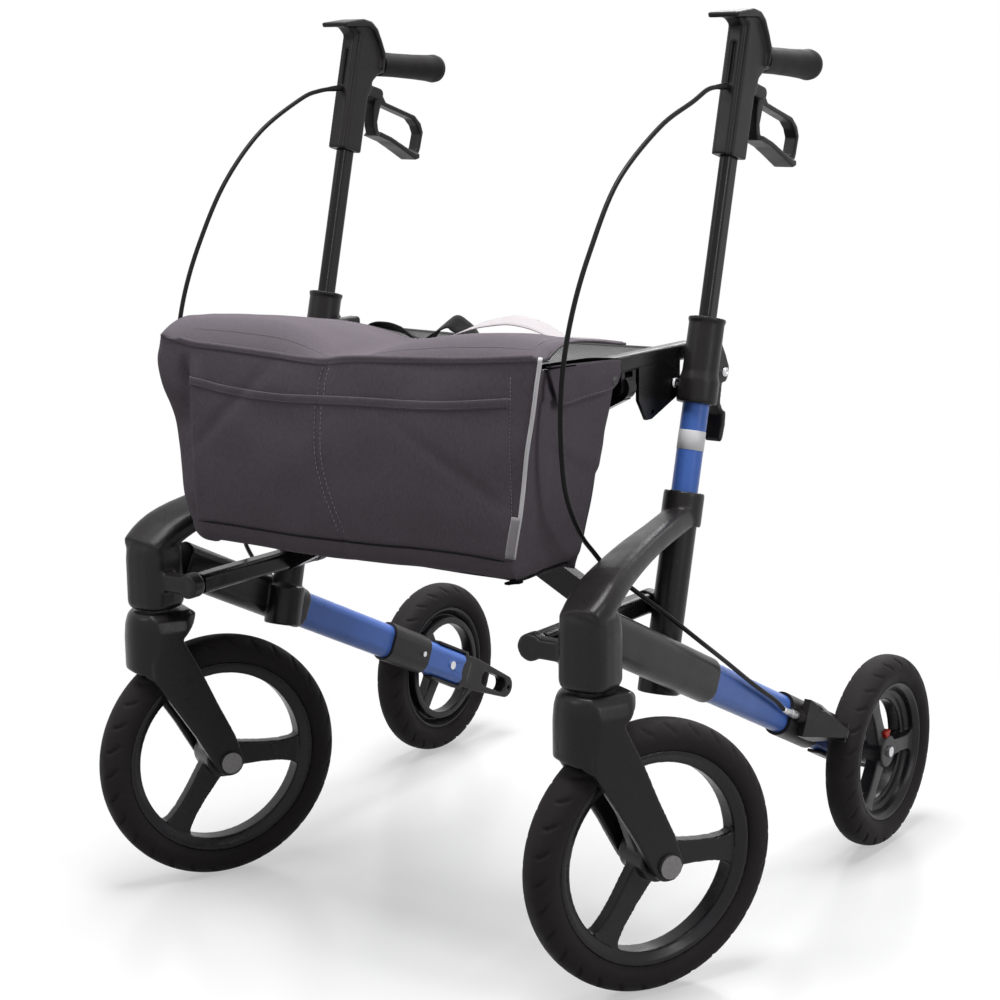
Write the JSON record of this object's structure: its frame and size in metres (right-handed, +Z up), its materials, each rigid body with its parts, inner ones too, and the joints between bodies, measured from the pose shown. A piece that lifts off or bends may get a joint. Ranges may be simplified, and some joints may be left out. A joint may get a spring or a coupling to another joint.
{
  "type": "all terrain rollator",
  "caption": "Folding walking frame with large swivelling front wheels, rear wheels with brakes, height-adjustable handles, a mesh seat and a front bag.",
  "frame": {"origin": "on the ground under the middle of the overall box", "axes": "+Z up, -Y forward, +X to the user's left"},
  "size_m": [0.7374, 0.7462, 0.9652],
  "materials": {
    "casting": "satin black powder coat",
    "blue_paint": "satin blue paint",
    "black_plastic": "fine moulded grain",
    "black_aluminium": "black anodised",
    "grip_rubber": "matte",
    "cable_jacket": "smooth",
    "rim_plastic": "satin",
    "tyre": "matte with tread",
    "steel": "bright zinc",
    "red_plastic": "satin",
    "seat_mesh": "open net",
    "black_webbing": "woven",
    "bag_fabric": "woven canvas",
    "pale_webbing": "woven"
  },
  "bodies": {
    "left_frame": {"left_arm": "casting", "left_lower_casting": "casting", "left_rail_tube": "blue_paint", "left_post_tube": "blue_paint", "left_height_clamp": "black_plastic", "left_brake_cable": "cable_jacket", "left_head_bearings": "steel", "left_rear_axle": "steel", "left_brake_bracket": "black_plastic", "left_kerb_step": "black_plastic", "left_fasteners": "steel"},
    "left_handle": {"left_handle_post": "black_aluminium", "left_handle_body": "black_plastic", "left_grip": "grip_rubber"},
    "left_hand_brake": {"left_brake_lever": "black_plastic"},
    "left_clamp": {"left_clamp_lever": "black_plastic"},
    "left_caster": {"left_caster_fork": "black_plastic", "left_caster_stem": "steel", "left_front_axle": "steel"},
    "left_front_wheel": {"left_front_rim": "rim_plastic", "left_front_tyre": "tyre"},
    "left_rear_wheel": {"left_rear_rim": "rim_plastic", "left_rear_tyre": "tyre"},
    "left_release": {"left_release_button": "red_plastic"},
    "left_shoe": {"left_brake_shoe": "black_plastic"},
    "right_frame": {"right_arm": "casting", "right_lower_casting": "casting", "right_rail_tube": "blue_paint", "right_post_tube": "blue_paint", "right_height_clamp": "black_plastic", "right_brake_cable": "cable_jacket", "right_head_bearings": "steel", "right_rear_axle": "steel", "right_brake_bracket": "black_plastic", "right_kerb_step": "black_plastic", "right_fasteners": "steel"},
    "right_handle": {"right_handle_post": "black_aluminium", "right_handle_body": "black_plastic", "right_grip": "grip_rubber"},
    "right_hand_brake": {"right_brake_lever": "black_plastic"},
    "right_clamp": {"right_clamp_lever": "black_plastic"},
    "right_caster": {"right_caster_fork": "black_plastic", "right_caster_stem": "steel", "right_front_axle": "steel"},
    "right_front_wheel": {"right_front_rim": "rim_plastic", "right_front_tyre": "tyre"},
    "right_rear_wheel": {"right_rear_rim": "rim_plastic", "right_rear_tyre": "tyre"},
    "right_release": {"right_release_button": "red_plastic"},
    "right_shoe": {"right_brake_shoe": "black_plastic"},
    "left_seat": {"left_seat_rail": "black_aluminium", "seat_mesh": "seat_mesh", "seat_pull_strap": "black_webbing", "bag": "bag_fabric"},
    "right_seat": {"right_seat_rail": "black_aluminium"},
    "link_a": {"cross_link_a": "black_aluminium", "cross_pivot": "steel"},
    "link_b": {"cross_link_b": "black_aluminium"},
    "lid": {"bag_flap": "bag_fabric", "bag_strap": "pale_webbing"}
  },
  "joints": [
    {"name": "fold", "type": "hinge", "parent": "left_frame", "child": "link_a", "pos_m": [0.20571, -0.20483, 0.356], "axis": [0, 1, 0], "range_deg": [0, 54], "deforming": ["seat_mesh", "seat_pull_strap", "bag", "bag_flap", "bag_strap"]},
    {"name": "link_cross", "type": "hinge", "parent": "link_a", "child": "link_b", "pos_m": [-0.02129, -0.15983, 0.473], "axis": [0, 1, 0], "range_deg": [-108, 0]},
    {"name": "right_fold", "type": "hinge", "parent": "link_b", "child": "right_frame", "pos_m": [-0.24829, -0.20483, 0.356], "axis": [0, 1, 0], "range_deg": [0, 54]},
    {"name": "left_seat_fold", "type": "hinge", "parent": "link_b", "child": "left_seat", "pos_m": [0.20571, -0.15083, 0.59], "axis": [0, 1, 0], "range_deg": [0, 54]},
    {"name": "right_seat_fold", "type": "hinge", "parent": "link_a", "child": "right_seat", "pos_m": [-0.24829, -0.16783, 0.59], "axis": [0, 1, 0], "range_deg": [-54, 0]},
    {"name": "lid_hinge", "type": "hinge", "parent": "left_seat", "child": "lid", "pos_m": [-0.02129, -0.31683, 0.6284], "axis": [1, 0, 0], "range_deg": [0, 110]},
    {"name": "left_handle_height", "type": "slide", "parent": "left_frame", "child": "left_handle", "axis": [0, 0.2453, 0.9694], "range_m": [-0.135, 0.015], "deforming": ["left_brake_cable"]},
    {"name": "left_brake_pull", "type": "hinge", "parent": "left_handle", "child": "left_hand_brake", "pos_m": [0.23671, 0.0617, 0.87816], "axis": [1, 0, 0], "range_deg": [0, 16], "stiffness_Nm_per_rad": 1.2},
    {"name": "left_shoe_press", "type": "hinge", "parent": "left_frame", "child": "left_shoe", "pos_m": [0.28071, 0.13167, 0.19454], "axis": [1, 0, 0], "range_deg": [0, 6.4]},
    {"name": "left_clamp_open", "type": "hinge", "parent": "left_frame", "child": "left_clamp", "pos_m": [0.23671, -0.01685, 0.59219], "axis": [1, 0, 0], "range_deg": [0, 95]},
    {"name": "left_caster_swivel", "type": "hinge", "parent": "left_frame", "child": "left_caster", "pos_m": [0.26721, -0.30483, 0.36], "axis": [0, 0, 1], "continuous": true},
    {"name": "left_front_roll", "type": "hinge", "parent": "left_caster", "child": "left_front_wheel", "pos_m": [0.29616, -0.2444, 0.14], "axis": [0.9018, -0.4321, 0], "continuous": true},
    {"name": "left_rear_roll", "type": "hinge", "parent": "left_frame", "child": "left_rear_wheel", "pos_m": [0.30671, 0.25917, 0.1135], "axis": [1, 0, 0], "continuous": true},
    {"name": "left_release_press", "type": "slide", "parent": "left_rear_wheel", "child": "left_release", "axis": [0, 0, -1], "range_m": [0, 0.002], "stiffness_N_per_m": 400},
    {"name": "right_handle_height", "type": "slide", "parent": "right_frame", "child": "right_handle", "axis": [0, 0.2453, 0.9694], "range_m": [-0.135, 0.015], "deforming": ["right_brake_cable"]},
    {"name": "right_brake_pull", "type": "hinge", "parent": "right_handle", "child": "right_hand_brake", "pos_m": [-0.27929, 0.0617, 0.87816], "axis": [1, 0, 0], "range_deg": [0, 16], "stiffness_Nm_per_rad": 1.2},
    {"name": "right_shoe_press", "type": "hinge", "parent": "right_frame", "child": "right_shoe", "pos_m": [-0.32329, 0.13167, 0.19454], "axis": [1, 0, 0], "range_deg": [0, 6.4]},
    {"name": "right_clamp_open", "type": "hinge", "parent": "right_frame", "child": "right_clamp", "pos_m": [-0.27929, -0.01685, 0.59219], "axis": [1, 0, 0], "range_deg": [0, 95]},
    {"name": "right_caster_swivel", "type": "hinge", "parent": "right_frame", "child": "right_caster", "pos_m": [-0.30979, -0.30483, 0.36], "axis": [0, 0, 1], "continuous": true},
    {"name": "right_front_roll", "type": "hinge", "parent": "right_caster", "child": "right_front_wheel", "pos_m": [-0.28084, -0.2444, 0.14], "axis": [0.9018, -0.4321, 0], "continuous": true},
    {"name": "right_rear_roll", "type": "hinge", "parent": "right_frame", "child": "right_rear_wheel", "pos_m": [-0.34929, 0.25917, 0.1135], "axis": [1, 0, 0], "continuous": true},
    {"name": "right_release_press", "type": "slide", "parent": "right_rear_wheel", "child": "right_release", "axis": [0, 0, -1], "range_m": [0, 0.002], "stiffness_N_per_m": 400}
  ],
  "couplings": [
    {"joint": "link_cross", "follows": "fold", "ratio": -2},
    {"joint": "right_fold", "follows": "fold", "ratio": 1},
    {"joint": "left_seat_fold", "follows": "fold", "ratio": 1},
    {"joint": "right_seat_fold", "follows": "fold", "ratio": -1},
    {"joint": "left_shoe_press", "follows": "left_brake_pull", "ratio": 0.4},
    {"joint": "right_shoe_press", "follows": "right_brake_pull", "ratio": 0.4}
  ]
}
